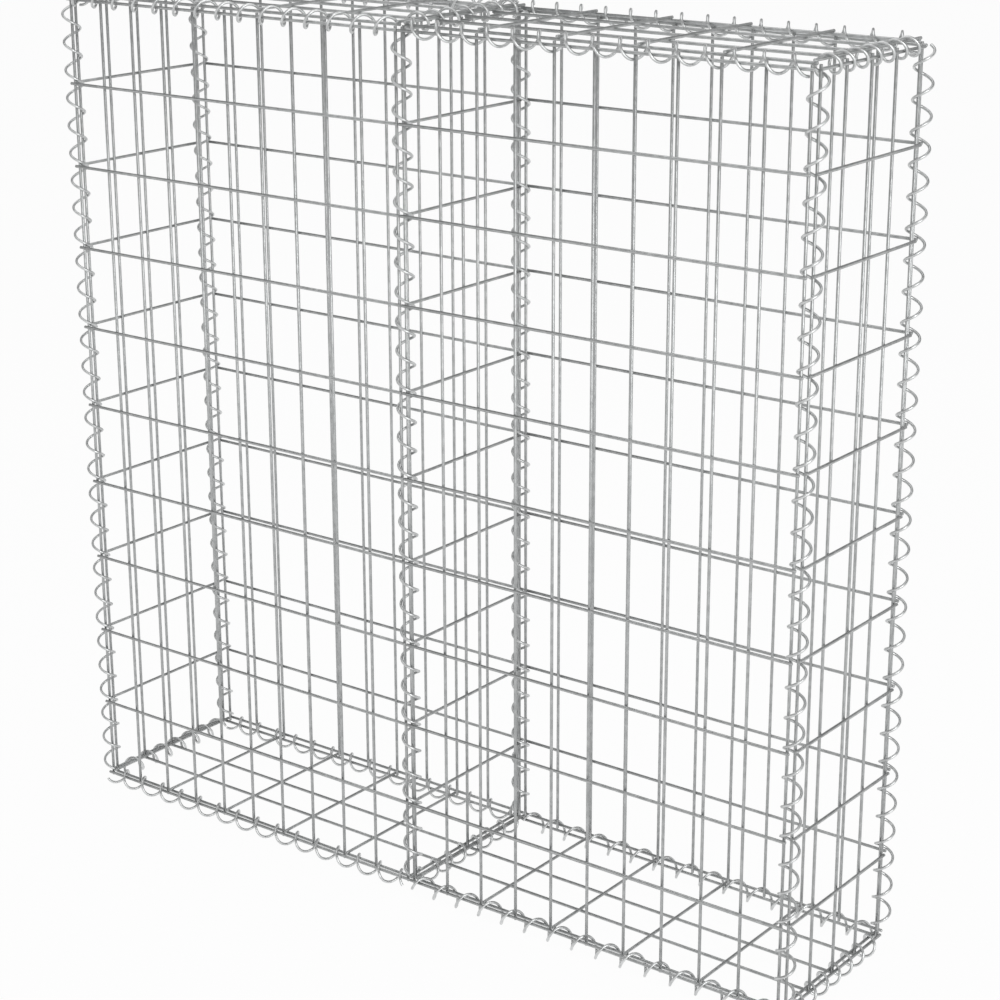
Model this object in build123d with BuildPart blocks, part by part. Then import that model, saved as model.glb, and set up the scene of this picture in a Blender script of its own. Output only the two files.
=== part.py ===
from build123d import *
import math
import os

# Gabion wall basket: a long, thin cage of welded wire mesh in two bays, with a divider
# between them and a lid over each. Every edge is laced with a spiral binder, a coil of
# wire that is screwed along the two or three mesh edges that meet there.
# Millimetres. X runs along the wall, Y from the front to the back, Z up from the ground.

# Mesh
mesh_wire = 3.5
mesh_width = 50.0
mesh_height = 100.0
bay_space_count = 10
end_space_count = 4
upright_space_count = 10
wire_end = 4.0

# How the panels stand to each other at the edges, wire centre to wire centre
bay_gap = 9.5
corner_gap = 10.0
lid_inset = 10.4
lid_rise = 4.8
base_drop = 2.3
panel_clearance = 0.3

# Spiral binders
binder_wire = 3.0
coil_sides = 6
wire_sides = 3
turns_in_two_spaces = 3
turns_in_one_space = 1.9
coil_room_share = 1.05
seat_clearance = 0.3
lid_coil_inset = 2.0
cross_coil_inset = 5.0
coil_end_rise = 5.0

# Directions in which a binder passes the mesh wires that cross it, in degrees
corner_pass = {"front": 28.0, "back": 105.0}
middle_pass = {"front": 15.0, "back": 348.0}
lid_pass = {"front": 316.0, "back": 330.0}
base_pass = {"front": 222.0, "back": 212.0}
lid_end_pass = 24.0
base_end_pass = 100.0
lid_middle_pass = 0.0
base_middle_pass = 180.0

# Bars of square section have the area of the round wire, and lie flat on each other
bar = mesh_wire * math.sqrt(math.pi) / 2
bay_length = bay_space_count * mesh_width
bay_depth = end_space_count * mesh_width
bay_height = upright_space_count * mesh_height
cross_space = 2 * mesh_width

# Places of the wire layers in plan
inner_edge = bay_gap / 2
outer_edge = inner_edge + bay_length
divider_upright = -bar / 2
divider_level = bar / 2
lid_inner_edge = bar + bar / 2 + panel_clearance
lid_outer_edge = lid_inner_edge + bay_length
end_upright = lid_outer_edge + bar + panel_clearance
end_level = end_upright + bar
face_upright = bay_depth / 2 + corner_gap
face_level = face_upright + bar
lid_side_edge = face_level - lid_inset

# The coil is wound to hold the widest group of edge wires that it binds
corner_pair = math.hypot(end_upright - outer_edge, corner_gap)
lid_pair = math.hypot(lid_inset, lid_rise)
lid_end_pair = math.hypot(end_level - lid_outer_edge, lid_rise + bar)
middle_circle = (inner_edge**2 + corner_gap**2) / corner_gap
widest_group = max(corner_pair, lid_pair, lid_end_pair, middle_circle)
seat_radius = coil_room_share * widest_group / 2
coil_radius = seat_radius + seat_clearance + (mesh_wire + binder_wire) / 2

# A coil of few sides encloses the area of the round coil
side_angle = 360 / coil_sides
area_share = 2 * math.pi / (coil_sides * math.sin(math.radians(side_angle)))
corner_radius = coil_radius * math.sqrt(area_share)


def direction(centre, wire):
    return math.degrees(math.atan2(wire.Y - centre.Y, wire.X - centre.X))


def seat(first, second, outward):
    """Centre of a coil that holds two wires against its inside, on their outer side."""
    along = (second - first).normalized()
    across = Vector(-along.Y, along.X)
    if across.dot(outward) < 0:
        across = across * -1
    half = (second - first).length / 2
    return (first + second) / 2 + across * math.sqrt(seat_radius**2 - half**2)


def corner_between(centre, first, second):
    """Direction of a coil corner, with the two wires equally near to a corner."""
    one = direction(centre, first)
    apart = (direction(centre, second) - one) % 360
    return one + (apart - round(apart / side_angle) * side_angle) / 2


def lowest(height, corner_angle):
    """Lowest point of a level coil whose centre is at the given height."""
    corners = [math.radians(corner_angle + side_angle * index) for index in range(coil_sides)]
    return height + corner_radius * min(math.sin(corner) for corner in corners) - binder_wire / 2


# Heights, from the ground under the lowest coil
level_wire = Vector(face_level, 0)
base_wire = Vector(lid_side_edge, -base_drop)
base_seat = seat(level_wire, base_wire, Vector(0, -1))
low_level = -lowest(base_seat.Y, corner_between(base_seat, level_wire, base_wire))
high_level = low_level + bay_height
lid_long = high_level + lid_rise
lid_cross = lid_long + bar
base_long = low_level - base_drop
base_cross = base_long + bar
middle_height = (low_level + high_level) / 2

os.makedirs("parts", exist_ok=True)


def spread(count, space):
    """Places of count + 1 wires, evenly spaced about zero."""
    return [(index - count / 2) * space for index in range(count + 1)]


def finish(piece, name):
    piece.part.label = name
    export_step(piece.part, f"parts/{name}.step")


def make_face_panel(name, side, face):
    """Long mesh panel of one bay: upright wires inside, level wires outside."""
    middle = side * (inner_edge + bay_length / 2)
    across = spread(bay_space_count, mesh_width)
    up = spread(upright_space_count, mesh_height)
    uprights = [(middle + x, face * face_upright, middle_height) for x in across]
    levels = [(middle, face * face_level, middle_height + z) for z in up]
    with BuildPart() as panel:
        with Locations(*uprights):
            Box(bar, bar, bay_height + 2 * wire_end)
        with Locations(*levels):
            Box(bay_length + 2 * wire_end, bar, bar)
    finish(panel, name)


def make_cross_panel(name, upright_at, level_at, across):
    """Short mesh panel across the wall, for an end or the divider, with uprights at across."""
    uprights = [(upright_at, y, middle_height) for y in across]
    levels = [(level_at, 0, middle_height + z) for z in spread(upright_space_count, mesh_height)]
    with BuildPart() as panel:
        with Locations(*uprights):
            Box(bar, bar, bay_height + 2 * wire_end)
        with Locations(*levels):
            Box(bar, bay_depth + 2 * wire_end, bar)
    finish(panel, name)


def make_flat_panel(name, side, long_height):
    """Lid or base of one bay: long wires below, cross wires on top of them."""
    middle = side * (lid_inner_edge + bay_length / 2)
    inner_places = spread(end_space_count, mesh_width)[1:-1]
    longs = [(middle, y, long_height) for y in (-lid_side_edge, *inner_places, lid_side_edge)]
    crosses = [(middle + x, 0, long_height + bar) for x in spread(bay_space_count // 2, cross_space)]
    with BuildPart() as panel:
        with Locations(*longs):
            Box(bay_length + bar, bar, bar)
        with Locations(*crosses):
            Box(bar, 2 * (lid_side_edge + wire_end), bar)
    finish(panel, name)


def make_binder(name, plane, centre, corner_angle, pitch, hand, at, pass_angle, ends):
    """Spiral binder: a helix of straight runs about centre, along the normal of plane.

    Its wire passes the direction pass_angle at the place at. Its corners lie in the
    direction corner_angle and evenly round from there. hand is 1 for a right-hand coil.
    """
    step = pitch / coil_sides
    start = at + hand * pitch * (corner_angle - pass_angle) / 360
    first = math.ceil((min(ends) - start) / step)
    last = math.floor((max(ends) - start) / step)
    points = []
    for index in range(first, last + 1):
        turn = math.radians(corner_angle + hand * side_angle * index)
        corner = Vector(math.cos(turn), math.sin(turn)) * corner_radius
        points.append(plane.from_local_coords(centre + corner + Vector(0, 0, start + step * index)))
    with BuildPart() as binder:
        with BuildLine() as path:
            Polyline(*points)
        with BuildSketch(Plane(origin=points[0], z_dir=points[1] - points[0])):
            RegularPolygon(binder_wire / 2, wire_sides)
        sweep(path=path.wire(), transition=Transition.RIGHT)
    finish(binder, name)


sides = {"left": -1, "right": 1}
faces = {"front": -1, "back": 1}

# Mesh panels; the divider has every second upright of an end
end_places = spread(end_space_count, mesh_width)
for side_name, side in sides.items():
    for face_name, face in faces.items():
        make_face_panel(f"{face_name}_panel_{side_name}", side, face)
    make_cross_panel(f"end_panel_{side_name}", side * end_upright, side * end_level, end_places)
    make_flat_panel(f"lid_{side_name}", side, lid_long)
    make_flat_panel(f"base_{side_name}", side, base_long)
make_cross_panel("divider_panel", divider_upright, divider_level, spread(end_space_count // 2, cross_space))

# Upright binders at the four corners and along both edges of the divider
upright_pitch = mesh_height / turns_in_two_spaces
upright_ends = (base_cross + coil_end_rise, high_level + wire_end)
for face_name, face in faces.items():
    for side_name, side in sides.items():
        face_wire = Vector(side * outer_edge, face * face_upright)
        end_wire = Vector(side * end_upright, face * bay_depth / 2)
        centre = seat(face_wire, end_wire, Vector(side, 0))
        corner_angle = corner_between(centre, face_wire, end_wire)
        pass_angle = 90 + side * (90 - corner_pass[face_name])
        make_binder(
            f"upright_binder_{face_name}_{side_name}", Plane.XY, centre, corner_angle,
            upright_pitch, side, low_level, pass_angle, upright_ends,
        )
    reach = math.sqrt(seat_radius**2 - divider_upright**2)
    centre = Vector(0, face * (bay_depth / 2 + reach))
    corner_angle = direction(centre, Vector(-inner_edge, face * face_upright))
    make_binder(
        f"upright_binder_{face_name}_middle", Plane.XY, centre, corner_angle,
        upright_pitch, -1, low_level, middle_pass[face_name], upright_ends,
    )

# Level binders along the wall, on the lids and under the bases
level_pitch = cross_space / turns_in_two_spaces
down = Vector(0, -1)
for side_name, side in sides.items():
    cross_wire = side * (lid_inner_edge + cross_space)
    lid_ends = (side * (inner_edge + lid_coil_inset), side * outer_edge)
    base_ends = (side * inner_edge, side * (outer_edge + wire_end))
    for face_name, face in faces.items():
        level_wire = Vector(face * face_level, high_level)
        lid_wire = Vector(face * lid_side_edge, lid_long)
        centre = (level_wire + lid_wire) / 2
        corner_angle = corner_between(centre, level_wire, lid_wire)
        make_binder(
            f"lid_binder_{face_name}_{side_name}", Plane.YZ, centre, corner_angle,
            level_pitch, side, cross_wire, lid_pass[face_name], lid_ends,
        )
        level_wire = Vector(face * face_level, low_level)
        base_wire = Vector(face * lid_side_edge, base_long)
        centre = seat(level_wire, base_wire, down)
        corner_angle = corner_between(centre, level_wire, base_wire)
        make_binder(
            f"base_binder_{face_name}_{side_name}", Plane.YZ, centre, corner_angle,
            level_pitch, -side, cross_wire, base_pass[face_name], base_ends,
        )

# Level binders across the wall, at its ends and over and under the divider
cross_pitch = mesh_width / turns_in_one_space
cross_ends = (cross_coil_inset - bay_depth / 2, bay_depth / 2 - cross_coil_inset)
down = Vector(-1, 0)
for side_name, side in sides.items():
    level_wire = Vector(high_level, side * end_level)
    lid_wire = Vector(lid_cross, side * lid_outer_edge)
    centre = seat(level_wire, lid_wire, down)
    make_binder(
        f"lid_binder_end_{side_name}", Plane.ZX, centre, corner_between(centre, level_wire, lid_wire),
        cross_pitch, side, 0, side * lid_end_pass, cross_ends,
    )
    level_wire = Vector(low_level, side * end_level)
    base_wire = Vector(base_cross, side * lid_outer_edge)
    centre = seat(level_wire, base_wire, down)
    make_binder(
        f"base_binder_end_{side_name}", Plane.ZX, centre, corner_between(centre, level_wire, base_wire),
        cross_pitch, -side, 0, side * base_end_pass, cross_ends,
    )

# Over the divider the coil is centred on three wires, under it the coil hangs from two
rise = lid_cross - high_level
lid_centre = Vector(high_level + (rise**2 + lid_inner_edge**2 - divider_level**2) / (2 * rise), 0)
base_centre = seat(Vector(base_cross, -lid_inner_edge), Vector(base_cross, lid_inner_edge), down)
for name, height, centre, hand, pass_angle in (
    ("lid_binder_middle", lid_cross, lid_centre, 1, lid_middle_pass),
    ("base_binder_middle", base_cross, base_centre, -1, base_middle_pass),
):
    left_wire = Vector(height, -lid_inner_edge)
    right_wire = Vector(height, lid_inner_edge)
    make_binder(
        name, Plane.ZX, centre, corner_between(centre, left_wire, right_wire),
        cross_pitch, hand, 0, pass_angle, cross_ends,
    )
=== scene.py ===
import math

import bmesh
import bpy
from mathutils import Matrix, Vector


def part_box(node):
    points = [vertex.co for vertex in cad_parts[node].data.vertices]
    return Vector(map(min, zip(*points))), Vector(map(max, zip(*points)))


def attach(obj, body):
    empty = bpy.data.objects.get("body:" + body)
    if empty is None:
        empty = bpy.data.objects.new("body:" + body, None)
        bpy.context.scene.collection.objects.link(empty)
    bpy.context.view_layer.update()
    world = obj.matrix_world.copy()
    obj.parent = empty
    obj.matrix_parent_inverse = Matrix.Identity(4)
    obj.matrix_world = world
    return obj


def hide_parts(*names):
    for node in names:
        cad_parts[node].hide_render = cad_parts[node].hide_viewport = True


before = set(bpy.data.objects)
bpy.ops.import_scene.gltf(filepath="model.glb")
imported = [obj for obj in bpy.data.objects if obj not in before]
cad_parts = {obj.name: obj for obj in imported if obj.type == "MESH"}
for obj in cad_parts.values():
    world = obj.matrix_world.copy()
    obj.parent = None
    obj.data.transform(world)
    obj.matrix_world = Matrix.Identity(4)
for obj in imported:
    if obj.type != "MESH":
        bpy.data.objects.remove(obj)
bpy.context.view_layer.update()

# Front and back panels: one mesh of drawn steel wire with a zinc coat to each bay and face.
# The upright wires are on the inside, and the level wires lie across them on the outside.
# Each crossing is spot welded, and the zinc there is duller and rougher.
along_wall = 0
across_wall = 1
upwards = 2
mesh_wire = 0.0035
wire_end = 0.004
wire_sides = 12
cut_chamfer = 0.0004
weld_radius = 0.0018
weld_thickness_share = 0.7
level_count = 11
face_upright_count = 11


def zinc(name, dark, light, smooth, rough, grain_height):
    """Pale satin zinc coat, a little uneven: cloudy patches, spangle and fine grain."""
    material = bpy.data.materials.new(name)
    material.use_nodes = True
    nodes = material.node_tree.nodes
    links = material.node_tree.links
    shader = nodes["Principled BSDF"]
    shader.inputs["Metallic"].default_value = 0.9
    place = nodes.new("ShaderNodeTexCoord")
    clouds = nodes.new("ShaderNodeTexNoise")
    clouds.inputs["Scale"].default_value = 130.0
    clouds.inputs["Detail"].default_value = 4.0
    links.new(place.outputs["Object"], clouds.inputs["Vector"])
    colour = nodes.new("ShaderNodeValToRGB")
    colour.color_ramp.elements[0].position = 0.35
    colour.color_ramp.elements[0].color = (*dark, 1.0)
    colour.color_ramp.elements[1].position = 0.65
    colour.color_ramp.elements[1].color = (*light, 1.0)
    links.new(clouds.outputs["Fac"], colour.inputs["Fac"])
    links.new(colour.outputs["Color"], shader.inputs["Base Color"])
    spangle = nodes.new("ShaderNodeTexVoronoi")
    spangle.inputs["Scale"].default_value = 420.0
    links.new(place.outputs["Object"], spangle.inputs["Vector"])
    gloss = nodes.new("ShaderNodeMapRange")
    gloss.inputs["To Min"].default_value = smooth
    gloss.inputs["To Max"].default_value = rough
    links.new(spangle.outputs["Distance"], gloss.inputs["Value"])
    links.new(gloss.outputs["Result"], shader.inputs["Roughness"])
    grain = nodes.new("ShaderNodeTexNoise")
    grain.inputs["Scale"].default_value = 1500.0
    grain.inputs["Detail"].default_value = 3.0
    links.new(place.outputs["Object"], grain.inputs["Vector"])
    bump = nodes.new("ShaderNodeBump")
    bump.inputs["Strength"].default_value = 0.10
    bump.inputs["Distance"].default_value = grain_height
    links.new(grain.outputs["Fac"], bump.inputs["Height"])
    links.new(bump.outputs["Normal"], shader.inputs["Normal"])
    return material


mesh_zinc = zinc(
    "mesh_zinc",
    dark=(0.39, 0.40, 0.40),
    light=(0.50, 0.51, 0.51),
    smooth=0.30,
    rough=0.46,
    grain_height=0.00008,
)
weld_zinc = zinc(
    "weld_zinc",
    dark=(0.33, 0.34, 0.34),
    light=(0.44, 0.45, 0.45),
    smooth=0.45,
    rough=0.62,
    grain_height=0.00020,
)


def add_tube(mesh, rings, sides):
    """Skin of a wire through rings of points, with a cap on each cut end."""
    loops = []
    for ring in rings:
        loops.append([mesh.verts.new(point) for point in ring])
    for first, second in zip(loops, loops[1:]):
        for index in range(sides):
            after = (index + 1) % sides
            face = mesh.faces.new((first[index], first[after], second[after], second[index]))
            face.smooth = True
    for ring, backwards in ((rings[0], True), (rings[-1], False)):
        cap = [mesh.verts.new(point) for point in ring]
        mesh.faces.new(reversed(cap) if backwards else cap)


def ring_of_points(middle, across, up, radius, sides):
    """Points round a wire's section, from the direction across towards the direction up."""
    ring = []
    for index in range(sides):
        turn = math.tau * index / sides
        ring.append(middle + across * (radius * math.cos(turn)) + up * (radius * math.sin(turn)))
    return ring


def add_straight_wire(mesh, start, end):
    """Round wire between two points, its cut ends slightly chamfered."""
    along = (end - start).normalized()
    across = along.orthogonal().normalized()
    up = along.cross(across)
    radius = mesh_wire / 2
    rings = []
    for middle, size in (
        (start, radius - cut_chamfer),
        (start + along * cut_chamfer, radius),
        (end - along * cut_chamfer, radius),
        (end, radius - cut_chamfer),
    ):
        rings.append(ring_of_points(middle, across, up, size, wire_sides))
    add_tube(mesh, rings, wire_sides)


def add_weld(mesh, place, thin_axis):
    """Flat bead of metal pressed out between two crossed wires."""
    made = bmesh.ops.create_icosphere(mesh, subdivisions=2, radius=weld_radius)
    for vertex in made["verts"]:
        vertex.co[thin_axis] *= weld_thickness_share
        vertex.co += place
        for face in vertex.link_faces:
            face.smooth = True
            face.material_index = 1


def keep_piece(mesh, node, materials):
    """Turns the mesh into an object that stands for one piece of the frame."""
    data = bpy.data.meshes.new(node + "_wire")
    mesh.to_mesh(data)
    mesh.free()
    for material in materials:
        data.materials.append(material)
    piece = bpy.data.objects.new(node + "_wire", data)
    bpy.context.collection.objects.link(piece)
    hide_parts(node)
    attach(piece, "root")


def weld_mesh(node, first_axis, first_places, first_depth, second_axis, second_places, second_depth):
    """Welded mesh of two layers of wires.

    The wires of the first layer run along first_axis, from edge to edge of the piece. They
    stand at first_places along second_axis. The second layer is the other way round.
    """
    low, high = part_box(node)
    depth_axis = along_wall + across_wall + upwards - first_axis - second_axis
    mesh = bmesh.new()
    for run, other, places, depth in (
        (first_axis, second_axis, first_places, first_depth),
        (second_axis, first_axis, second_places, second_depth),
    ):
        for place in places:
            start = Vector()
            start[run] = low[run]
            start[other] = place
            start[depth_axis] = depth
            end = start.copy()
            end[run] = high[run]
            add_straight_wire(mesh, start, end)
    for first_place in first_places:
        for second_place in second_places:
            crossing = Vector()
            crossing[second_axis] = first_place
            crossing[first_axis] = second_place
            crossing[depth_axis] = (first_depth + second_depth) / 2
            add_weld(mesh, crossing, depth_axis)
    keep_piece(mesh, node, (mesh_zinc, weld_zinc))


def spread(low, high, count):
    """Places at equal steps from low to high."""
    return [low + (high - low) * index / (count - 1) for index in range(count)]


def layer_middles(low, high):
    """Middles of the two layers of wire between the faces of a mesh."""
    half_layer = (high - low) / 4
    return low + half_layer, high - half_layer


for side in ("left", "right"):
    for face in ("front", "back"):
        node = f"{face}_panel_{side}"
        low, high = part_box(node)
        near, far = layer_middles(low.y, high.y)
        upright_depth, level_depth = (far, near) if face == "front" else (near, far)
        uprights = spread(low.x + wire_end, high.x - wire_end, face_upright_count)
        levels = spread(low.z + wire_end, high.z - wire_end, level_count)
        weld_mesh(node, upwards, uprights, upright_depth, along_wall, levels, level_depth)

# End panels and divider: narrow meshes of the same wire across the wall, as tall as the
# faces. The level wires are outside the uprights at the ends, and on the right of them in the
# divider. The mesh of the divider is twice as wide, with three uprights.
end_upright_count = 5
divider_upright_count = 3
for node, upright_count in (
    ("end_panel_left", end_upright_count),
    ("end_panel_right", end_upright_count),
    ("divider_panel", divider_upright_count),
):
    low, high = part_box(node)
    near, far = layer_middles(low.x, high.x)
    upright_depth, level_depth = (far, near) if node == "end_panel_left" else (near, far)
    uprights = spread(low.y + wire_end, high.y - wire_end, upright_count)
    levels = spread(low.z + wire_end, high.z - wire_end, level_count)
    weld_mesh(node, upwards, uprights, upright_depth, across_wall, levels, level_depth)

# Lids and bases: meshes of the same wire laid flat, with five long wires and a cross wire at
# every second upright of the faces. The cross wires are welded on top. The long wires stop
# flush with the end cross wires.
mesh_width = 0.05
middle_line = 0.0
inner_longs = (middle_line - mesh_width, middle_line, middle_line + mesh_width)
flat_cross_count = 6
for part in ("lid", "base"):
    for side in ("left", "right"):
        node = f"{part}_{side}"
        low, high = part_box(node)
        long_height, cross_height = layer_middles(low.z, high.z)
        longs = [low.y + wire_end, *inner_longs, high.y - wire_end]
        crosses = spread(low.x + mesh_wire / 2, high.x - mesh_wire / 2, flat_cross_count)
        weld_mesh(node, along_wall, longs, long_height, across_wall, crosses, cross_height)

# Upright binders: spirals of spring wire, screwed down the four corners and both edges of
# the divider so that they hold the edge wires of the panels together.
# They are galvanised like the mesh, and a little brighter.
binder_wire = 0.0032
binder_sides = 10
coil_radius = 0.010
points_per_turn = 28
end_room = 0.001
mesh_height = 0.1
turns_in_one_height = 3
long_pitch = mesh_height / turns_in_one_height
right_hand = 1
left_hand = -1
half_turn = 180.0
corner_pass = {"front": 28.0, "back": 105.0}
middle_pass = {"front": 15.0, "back": 348.0}
binder_zinc = zinc(
    "binder_zinc",
    dark=(0.54, 0.55, 0.55),
    light=(0.68, 0.69, 0.69),
    smooth=0.26,
    rough=0.42,
    grain_height=0.00008,
)


def wind(node, axis, pitch, hand, at, pass_angle):
    """Spiral along an axis, through the middle of its node.

    At the place at, its wire is in the direction pass_angle. That is in degrees, from the next
    axis towards the one after, with the axes taken round in the order X, Y, Z.
    """
    low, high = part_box(node)
    axis_count = len(low)
    across = (axis + 1) % axis_count
    up = (axis + 2) % axis_count
    start = low[axis] + end_room
    length = high[axis] - end_room - start
    count = round(length / pitch * points_per_turn)
    slope = hand * math.tau / pitch
    rings = []
    for index in range(count + 1):
        place = start + length * index / count
        turn = math.radians(pass_angle) + slope * (place - at)
        radial = Vector()
        radial[across] = math.cos(turn)
        radial[up] = math.sin(turn)
        tangent = Vector()
        tangent[axis] = 1
        tangent[across] = -math.sin(turn) * slope * coil_radius
        tangent[up] = math.cos(turn) * slope * coil_radius
        tangent.normalize()
        centre = (low + high) / 2
        centre[axis] = place
        centre += radial * coil_radius
        rings.append(ring_of_points(centre, radial, tangent.cross(radial), binder_wire / 2, binder_sides))
    mesh = bmesh.new()
    add_tube(mesh, rings, binder_sides)
    keep_piece(mesh, node, (binder_zinc,))


lowest_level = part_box("front_panel_left")[0].z + wire_end
for face in ("front", "back"):
    left_pass = corner_pass[face]
    right_pass = half_turn - corner_pass[face]
    wind(f"upright_binder_{face}_left", upwards, long_pitch, left_hand, lowest_level, left_pass)
    wind(f"upright_binder_{face}_right", upwards, long_pitch, right_hand, lowest_level, right_pass)
    wind(f"upright_binder_{face}_middle", upwards, long_pitch, left_hand, lowest_level, middle_pass[face])

# Binders along the wall: the same spirals, laid along the top and bottom edges of each bay.
# They hold the edge wires of the lids and bases to the top and bottom wires of the faces.
# Those of the left bay mirror those of the right bay.
lid_pass = {"front": 316.0, "back": 330.0}
base_pass = {"front": 222.0, "back": 212.0}
for side, hand in (("left", left_hand), ("right", right_hand)):
    low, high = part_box(f"lid_{side}")
    half_layer = (high.z - low.z) / 4
    inner_edge = high.x - half_layer if side == "left" else low.x + half_layer
    for face in ("front", "back"):
        wind(f"lid_binder_{face}_{side}", along_wall, long_pitch, hand, inner_edge, lid_pass[face])
        wind(f"base_binder_{face}_{side}", along_wall, long_pitch, -hand, inner_edge, base_pass[face])

# Binders across the wall: short spirals of the same wire at both ends of the lids and bases,
# and over and under the divider, where one spiral holds the edges of two lids or two bases.
# They are wound closer than the long ones.
turns_in_one_width = 1.9
cross_pitch = mesh_width / turns_in_one_width
lid_end_pass = 24.0
base_end_pass = 100.0
lid_middle_pass = 0.0
base_middle_pass = 180.0
for side, hand in (("left", left_hand), ("right", right_hand)):
    wind(f"lid_binder_end_{side}", across_wall, cross_pitch, hand, middle_line, hand * lid_end_pass)
    wind(f"base_binder_end_{side}", across_wall, cross_pitch, -hand, middle_line, hand * base_end_pass)
wind("lid_binder_middle", across_wall, cross_pitch, right_hand, middle_line, lid_middle_pass)
wind("base_binder_middle", across_wall, cross_pitch, left_hand, middle_line, base_middle_pass)

# Floor: pale and plain. The camera sees it nearly as white as paper, with a faint shadow
# of the basket, and so do the reflections in the wires.
floor_size = 40.0
white_share = 0.96
floor_data = bpy.data.meshes.new("floor")
corner = floor_size / 2
floor_data.from_pydata(
    [(-corner, -corner, 0), (corner, -corner, 0), (corner, corner, 0), (-corner, corner, 0)],
    [],
    [(0, 1, 2, 3)],
)
floor = bpy.data.objects.new("floor", floor_data)
bpy.context.collection.objects.link(floor)
floor_material = bpy.data.materials.new("floor_white")
floor_material.use_nodes = True
floor_nodes = floor_material.node_tree.nodes
floor_links = floor_material.node_tree.links
floor_shader = floor_nodes["Principled BSDF"]
floor_shader.inputs["Base Color"].default_value = (0.88, 0.88, 0.88, 1.0)
floor_shader.inputs["Roughness"].default_value = 0.9
white = floor_nodes.new("ShaderNodeEmission")
ray = floor_nodes.new("ShaderNodeLightPath")
seen = ray.outputs["Is Camera Ray"]
for other in ("Is Glossy Ray", "Is Transmission Ray"):
    either = floor_nodes.new("ShaderNodeMath")
    either.operation = "MAXIMUM"
    floor_links.new(seen, either.inputs[0])
    floor_links.new(ray.outputs[other], either.inputs[1])
    seen = either.outputs["Value"]
whitening = floor_nodes.new("ShaderNodeMath")
whitening.operation = "MULTIPLY"
whitening.inputs[1].default_value = white_share
floor_links.new(seen, whitening.inputs[0])
mix = floor_nodes.new("ShaderNodeMixShader")
floor_links.new(whitening.outputs["Value"], mix.inputs["Fac"])
floor_links.new(floor_shader.outputs["BSDF"], mix.inputs[1])
floor_links.new(white.outputs["Emission"], mix.inputs[2])
floor_links.new(mix.outputs["Shader"], floor_nodes["Material Output"].inputs["Surface"])
floor_data.materials.append(floor_material)

# Light: a white studio, bright round the sides and darker overhead, with one large soft lamp
# beside the camera and one above the basket.
world = bpy.data.worlds.new("studio")
bpy.context.scene.world = world
world.use_nodes = True
world_nodes = world.node_tree.nodes
world_links = world.node_tree.links
room_place = world_nodes.new("ShaderNodeTexCoord")
room_split = world_nodes.new("ShaderNodeSeparateXYZ")
room_shade = world_nodes.new("ShaderNodeValToRGB")
room_shade.color_ramp.elements[0].position = 0.05
room_shade.color_ramp.elements[0].color = (0.98, 0.98, 0.98, 1.0)
room_shade.color_ramp.elements[1].position = 0.60
room_shade.color_ramp.elements[1].color = (0.22, 0.22, 0.22, 1.0)
world_links.new(room_place.outputs["Generated"], room_split.inputs["Vector"])
world_links.new(room_split.outputs["Z"], room_shade.inputs["Fac"])
world_links.new(room_shade.outputs["Color"], world_nodes["Background"].inputs["Color"])

lamp_aim = Vector((0.0, 0.0, 0.5))
for name, size, energy, place in (
    ("side_lamp", 2.4, 60.0, (3.6, -1.8, 1.5)),
    ("top_lamp", 3.0, 38.0, (0.0, -0.3, 3.4)),
):
    lamp_data = bpy.data.lights.new(name, "AREA")
    lamp_data.shape = "SQUARE"
    lamp_data.size = size
    lamp_data.energy = energy
    lamp = bpy.data.objects.new(name, lamp_data)
    lamp.location = place
    lamp.rotation_euler = (lamp_aim - lamp.location).to_track_quat("-Z", "Y").to_euler()
    bpy.context.collection.objects.link(lamp)

# Camera: at the photograph's place, a little above the basket and to the right of its front.
# The shift is that of the photograph's crop.
camera_data = bpy.data.cameras.new("camera")
camera_data.sensor_width = 36.0
camera_data.lens = 84.61
camera_data.shift_x = -0.0234
camera_data.shift_y = -0.0375
camera = bpy.data.objects.new("camera", camera_data)
camera.location = (1.6165, -2.0498, 1.3201)
camera.rotation_euler = (math.radians(72.716), math.radians(-0.027), math.radians(36.800))
bpy.context.collection.objects.link(camera)
bpy.context.scene.camera = camera
bpy.context.scene.view_settings.view_transform = "Standard"
